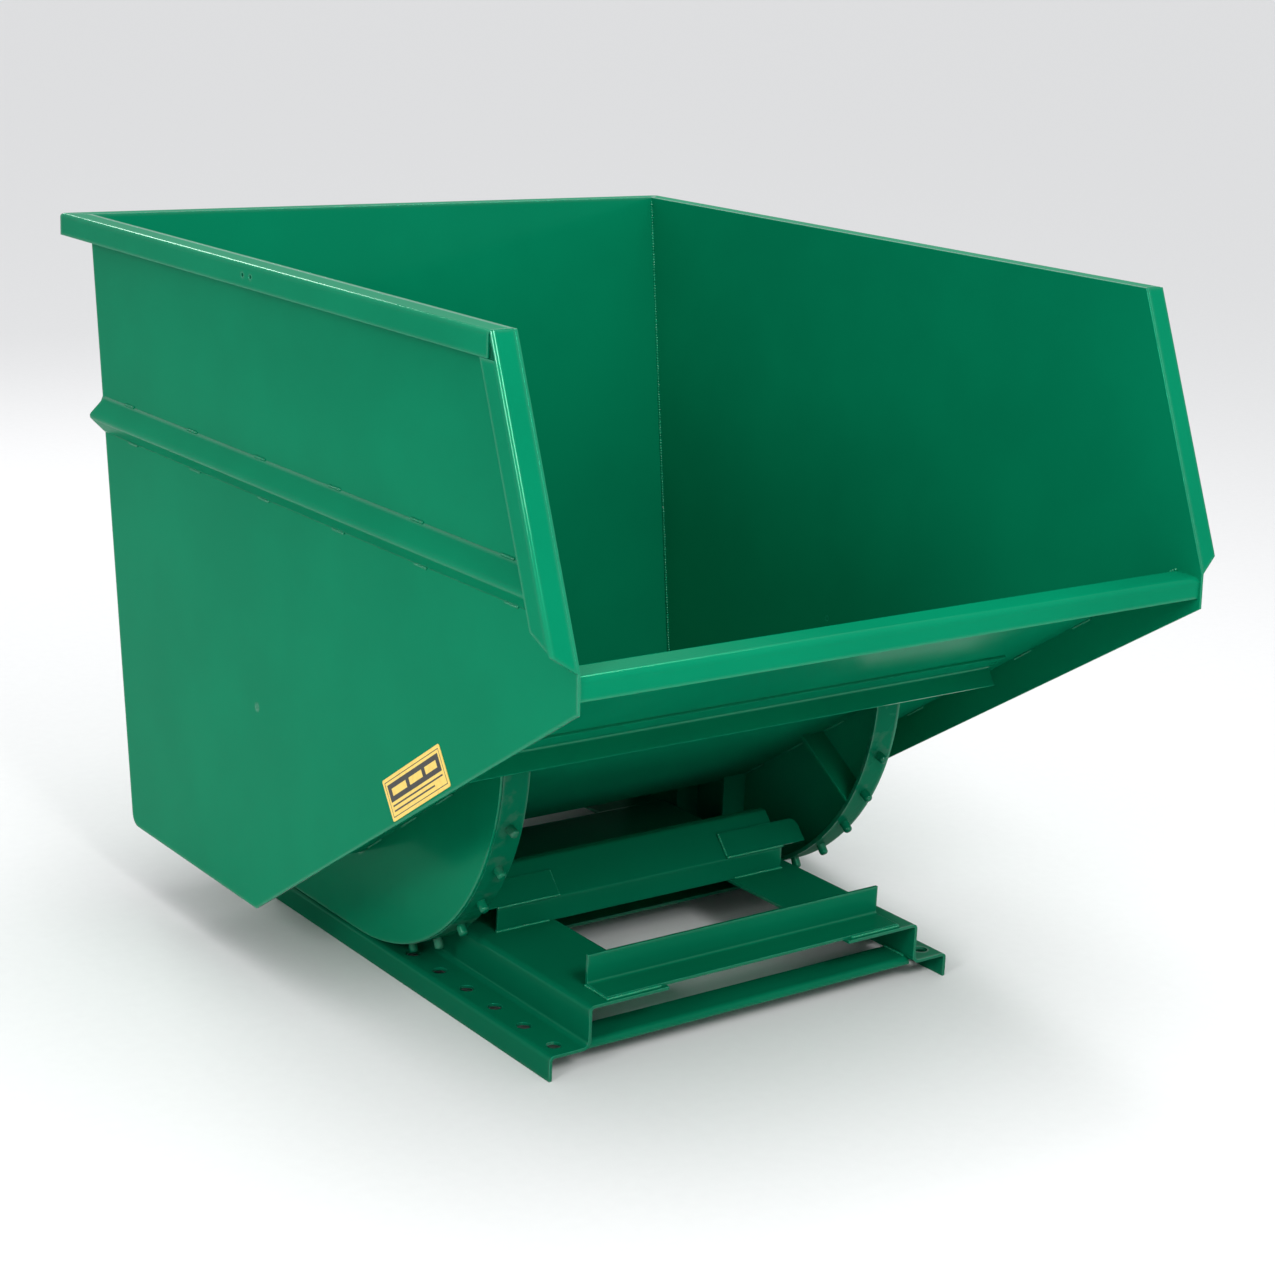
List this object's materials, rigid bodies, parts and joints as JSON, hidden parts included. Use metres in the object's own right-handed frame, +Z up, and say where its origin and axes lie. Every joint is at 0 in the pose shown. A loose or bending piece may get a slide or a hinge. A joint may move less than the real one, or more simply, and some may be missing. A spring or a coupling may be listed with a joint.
{
  "type": "self-dumping hopper",
  "caption": "Welded steel bin that rolls forward on curved rockers along a forklift base to tip its load, held back by a hand latch.",
  "frame": {"origin": "on the ground, midway between the side panels and midway between the front of the nose and the back of the latch grip", "axes": "+Z up, +X to the right seen from the front, the pouring lip faces -Y"},
  "size_m": [1.488, 1.8846, 1.381],
  "materials": {
    "hopper_paint": "glossy green powder coat over folded sheet steel",
    "base_paint": "glossy green powder coat over folded plate",
    "rolling_paint": "green powder coat, worn where it rolls on the track",
    "bare_steel": "zinc-plated bar",
    "grip_rubber": "matt black dipped grip",
    "label_film": "yellow and black film label without lettering"
  },
  "bodies": {
    "base": {"rail_left": "base_paint", "rail_right": "base_paint", "strap_front": "base_paint", "strap_middle": "base_paint", "strap_rear": "base_paint", "stop_angle": "base_paint", "rear_angle": "base_paint", "ramp": "base_paint", "ramp_plates": "base_paint", "bed_plate": "base_paint", "latch_lugs": "base_paint", "latch_pin": "bare_steel"},
    "roll_carriage": {"roll_plugs": "hopper_paint"},
    "hopper": {"side_panel_left": "hopper_paint", "side_panel_right": "hopper_paint", "rear_sheet": "hopper_paint", "floor_sheet": "hopper_paint", "rim_left": "hopper_paint", "rim_right": "hopper_paint", "rim_rear": "hopper_paint", "front_flange_left": "hopper_paint", "front_flange_right": "hopper_paint", "side_rib_left": "hopper_paint", "side_rib_right": "hopper_paint", "rear_rib_upper": "hopper_paint", "rear_rib_lower": "hopper_paint", "floor_angle": "hopper_paint", "rocker_plate_left": "hopper_paint", "rocker_plate_right": "hopper_paint", "rocker_rim_left": "rolling_paint", "rocker_rim_right": "rolling_paint", "rocker_webs_left": "hopper_paint", "rocker_webs_right": "hopper_paint", "rocker_studs_left": "rolling_paint", "rocker_studs_right": "rolling_paint", "catch_plates": "hopper_paint", "catch_bar": "bare_steel", "warning_label": "label_film"},
    "latch": {"latch_hook": "base_paint", "latch_handle": "base_paint", "latch_grip": "grip_rubber"}
  },
  "joints": [
    {"name": "roll_travel", "type": "slide", "parent": "base", "child": "roll_carriage", "axis": [0, -1, 0], "range_m": [0, 0.648]},
    {"name": "roll", "type": "hinge", "parent": "roll_carriage", "child": "hopper", "pos_m": [0, 0.09772, 0.5443], "axis": [1, 0, 0], "range_deg": [0, 75]},
    {"name": "latch", "type": "hinge", "parent": "base", "child": "latch", "pos_m": [0, 0.77703, 0.24], "axis": [1, 0, 0], "range_deg": [0, 22]}
  ],
  "couplings": [
    {"joint": "roll_travel", "follows": "roll", "m_per_rad": 0.495}
  ]
}
